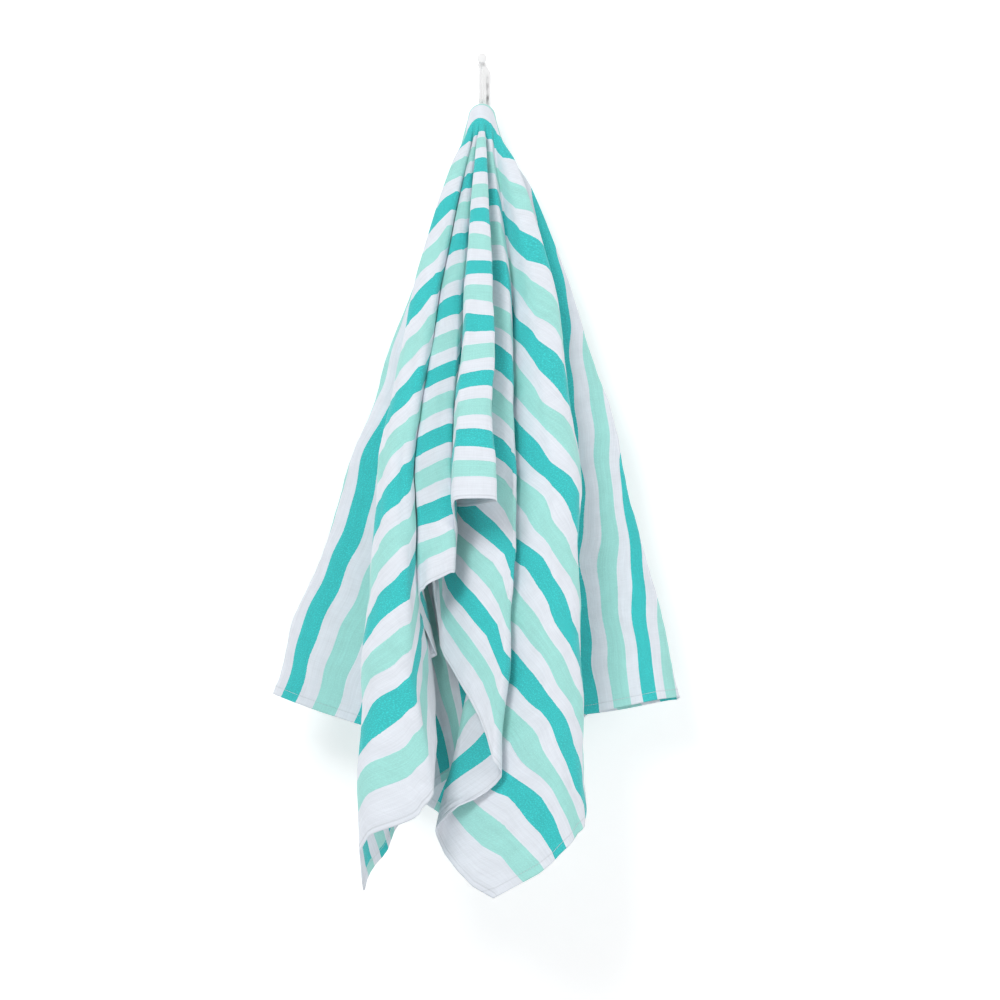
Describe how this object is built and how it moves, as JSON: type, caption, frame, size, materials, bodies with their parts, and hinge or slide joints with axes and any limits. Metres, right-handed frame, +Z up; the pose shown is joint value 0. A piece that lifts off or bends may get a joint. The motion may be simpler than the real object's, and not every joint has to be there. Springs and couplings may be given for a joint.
{
  "type": "striped beach blanket hung by its loop on a wall peg",
  "caption": "Striped cotton beach blanket hung from its middle by a sewn loop on a small wall peg, falling in long uneven folds with its corners low.",
  "frame": {"origin": "middle of the peg's flat back end, on the wall", "axes": "+Z up, +Y into the wall, +X to the right as seen from the front"},
  "size_m": [0.6337, 0.3315, 1.2878],
  "materials": {
    "blanket_cloth": "soft woven cotton, white with mint and turquoise stripes",
    "loop_tape": "white cotton tape",
    "peg_paint": "satin white"
  },
  "bodies": {
    "root": {"blanket": "blanket_cloth", "loop": "loop_tape", "peg": "peg_paint"}
  },
  "joints": []
}
